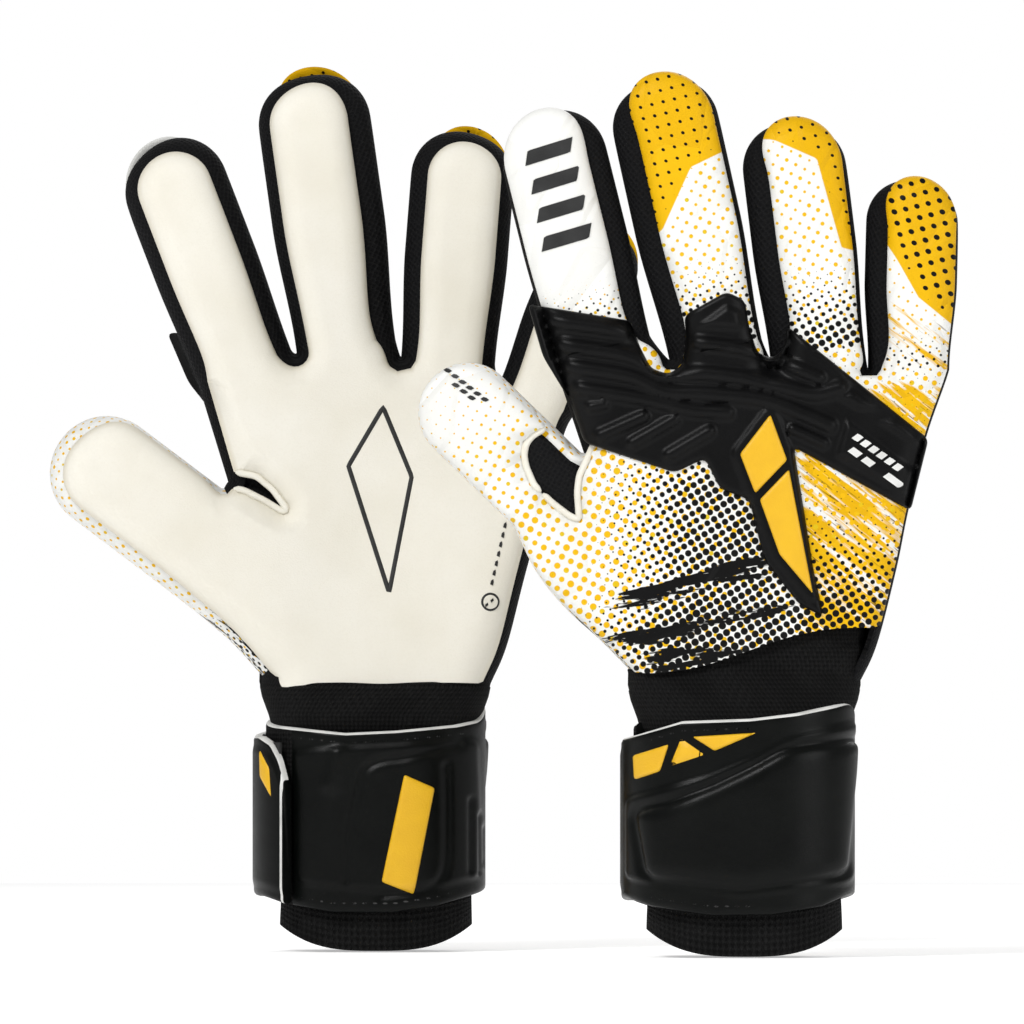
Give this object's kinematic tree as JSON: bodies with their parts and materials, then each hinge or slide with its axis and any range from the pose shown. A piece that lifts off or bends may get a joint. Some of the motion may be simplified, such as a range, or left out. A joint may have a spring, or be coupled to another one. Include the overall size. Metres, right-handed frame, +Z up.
{
  "type": "pair of goalkeeper gloves",
  "caption": "Padded goalkeeper gloves standing on their cuffs: latex palms, mesh gussets, printed backs with a rubber punch pad, and wrap-round hook-and-loop wrist straps.",
  "frame": {"origin": "centre of the pair's bounding box at the floor that both cuffs stand on", "axes": "+Z up along the wrists towards the fingertips, +X from the thumbs towards the little fingers, -Y towards the palm of the left glove and the back of the right glove, which stands in front"},
  "size_m": [0.2996, 0.1656, 0.2929],
  "materials": {
    "latex": "matt soft foam latex",
    "palm_foam": "matt foam",
    "mesh": "matt stretch mesh",
    "printed_back": "matt foam latex with a dot and brush print",
    "punch_rubber": "satin moulded rubber",
    "emblem_yellow": "satin",
    "elastic_knit": "ribbed elastic knit",
    "strap_foam": "coated satin, embossed",
    "loop_pile": "short pile",
    "hook_tape": "moulded hooks"
  },
  "bodies": {
    "left_hand": {"left_palm_latex": "latex", "left_palm_foam": "palm_foam", "left_hand_gussets": "mesh", "left_backhand_panel": "printed_back", "left_thumb_vent": "mesh", "left_punch_pad": "punch_rubber", "left_emblem_inlay": "emblem_yellow", "left_cuff_sleeve": "elastic_knit", "left_cuff_collar": "elastic_knit", "left_strap_base": "strap_foam", "left_loop_patch": "loop_pile", "left_strap_emblem": "emblem_yellow"},
    "left_index": {"left_index_latex": "latex", "left_index_gusset": "mesh", "left_index_back": "printed_back"},
    "left_middle": {"left_middle_latex": "latex", "left_middle_gusset": "mesh", "left_middle_back": "printed_back"},
    "left_ring": {"left_ring_latex": "latex", "left_ring_gusset": "mesh", "left_ring_back": "printed_back"},
    "left_little": {"left_little_latex": "latex", "left_little_gusset": "mesh", "left_little_back": "printed_back"},
    "left_thumb": {"left_thumb_latex": "latex", "left_thumb_back": "printed_back"},
    "left_strap_wrap": {"left_strap_wrap": "strap_foam"},
    "left_strap_tab": {"left_strap_tab": "strap_foam", "left_hook_patch": "hook_tape", "left_tab_inlays": "emblem_yellow"},
    "right_hand": {"right_palm_latex": "latex", "right_palm_foam": "palm_foam", "right_hand_gussets": "mesh", "right_backhand_panel": "printed_back", "right_thumb_vent": "mesh", "right_punch_pad": "punch_rubber", "right_emblem_inlay": "emblem_yellow", "right_cuff_sleeve": "elastic_knit", "right_cuff_collar": "elastic_knit", "right_strap_base": "strap_foam", "right_loop_patch": "loop_pile", "right_strap_emblem": "emblem_yellow"},
    "right_index": {"right_index_latex": "latex", "right_index_gusset": "mesh", "right_index_back": "printed_back"},
    "right_middle": {"right_middle_latex": "latex", "right_middle_gusset": "mesh", "right_middle_back": "printed_back"},
    "right_ring": {"right_ring_latex": "latex", "right_ring_gusset": "mesh", "right_ring_back": "printed_back"},
    "right_little": {"right_little_latex": "latex", "right_little_gusset": "mesh", "right_little_back": "printed_back"},
    "right_thumb": {"right_thumb_latex": "latex", "right_thumb_back": "printed_back"},
    "right_strap_wrap": {"right_strap_wrap": "strap_foam"},
    "right_strap_tab": {"right_strap_tab": "strap_foam", "right_hook_patch": "hook_tape", "right_tab_inlays": "emblem_yellow"}
  },
  "joints": [
    {"name": "left_index_flex", "type": "hinge", "parent": "left_hand", "child": "left_index", "pos_m": [-0.08568, 0.0395, 0.1934], "axis": [0.9336, 0, 0.3584], "range_deg": [0, 55], "stiffness_Nm_per_rad": 0.06},
    {"name": "left_middle_flex", "type": "hinge", "parent": "left_hand", "child": "left_middle", "pos_m": [-0.05208, 0.0395, 0.2006], "axis": [0.9903, 0, 0.1392], "range_deg": [0, 55], "stiffness_Nm_per_rad": 0.06},
    {"name": "left_ring_flex", "type": "hinge", "parent": "left_hand", "child": "left_ring", "pos_m": [-0.01818, 0.0395, 0.1955], "axis": [0.9969, 0, -0.0785], "range_deg": [0, 55], "stiffness_Nm_per_rad": 0.06},
    {"name": "left_little_flex", "type": "hinge", "parent": "left_hand", "child": "left_little", "pos_m": [0.01132, 0.0395, 0.183], "axis": [0.9205, 0, -0.3907], "range_deg": [0, 55], "stiffness_Nm_per_rad": 0.06},
    {"name": "left_thumb_flex", "type": "hinge", "parent": "left_hand", "child": "left_thumb", "pos_m": [-0.10468, 0.0395, 0.138], "axis": [0.6018, 0, 0.7986], "range_deg": [0, 50], "stiffness_Nm_per_rad": 0.06},
    {"name": "left_tab_peel", "type": "hinge", "parent": "left_strap_wrap", "child": "left_strap_tab", "pos_m": [-0.0591, 0.08218, 0.045], "axis": [0, 0, -1], "range_deg": [0, 120]},
    {"name": "left_wrap_open", "type": "hinge", "parent": "left_hand", "child": "left_strap_wrap", "pos_m": [-0.01351, 0.07467, 0.045], "axis": [0, 0, -1], "range_deg": [0, 66]},
    {"name": "right_index_flex", "type": "hinge", "parent": "right_hand", "child": "right_index", "pos_m": [0.03232, -0.0395, 0.2], "axis": [-0.9703, 0, -0.2419], "range_deg": [0, 55], "stiffness_Nm_per_rad": 0.06},
    {"name": "right_middle_flex", "type": "hinge", "parent": "right_hand", "child": "right_middle", "pos_m": [0.06982, -0.0395, 0.1995], "axis": [-0.9763, 0, -0.2164], "range_deg": [0, 55], "stiffness_Nm_per_rad": 0.06},
    {"name": "right_ring_flex", "type": "hinge", "parent": "right_hand", "child": "right_ring", "pos_m": [0.10332, -0.0395, 0.1985], "axis": [-0.9925, 0, -0.1219], "range_deg": [0, 55], "stiffness_Nm_per_rad": 0.06},
    {"name": "right_little_flex", "type": "hinge", "parent": "right_hand", "child": "right_little", "pos_m": [0.13332, -0.0395, 0.193], "axis": [-0.9997, 0, 0.0262], "range_deg": [0, 55], "stiffness_Nm_per_rad": 0.06},
    {"name": "right_thumb_flex", "type": "hinge", "parent": "right_hand", "child": "right_thumb", "pos_m": [0.01432, -0.0395, 0.1536], "axis": [-0.6947, 0, -0.7193], "range_deg": [0, 50], "stiffness_Nm_per_rad": 0.06},
    {"name": "right_tab_peel", "type": "hinge", "parent": "right_strap_wrap", "child": "right_strap_tab", "pos_m": [0.0624, -0.08218, 0.045], "axis": [0, 0, 1], "range_deg": [0, 120]},
    {"name": "right_wrap_open", "type": "hinge", "parent": "right_hand", "child": "right_strap_wrap", "pos_m": [0.10799, -0.07467, 0.045], "axis": [0, 0, 1], "range_deg": [0, 66]},
    {"name": "pair_spread", "type": "slide", "parent": "left_hand", "child": "right_hand", "axis": [1, 0, 0], "range_m": [0, 0.3]}
  ],
  "couplings": [
    {"joint": "left_wrap_open", "follows": "left_tab_peel", "ratio": 0.5},
    {"joint": "right_wrap_open", "follows": "right_tab_peel", "ratio": 0.5}
  ]
}
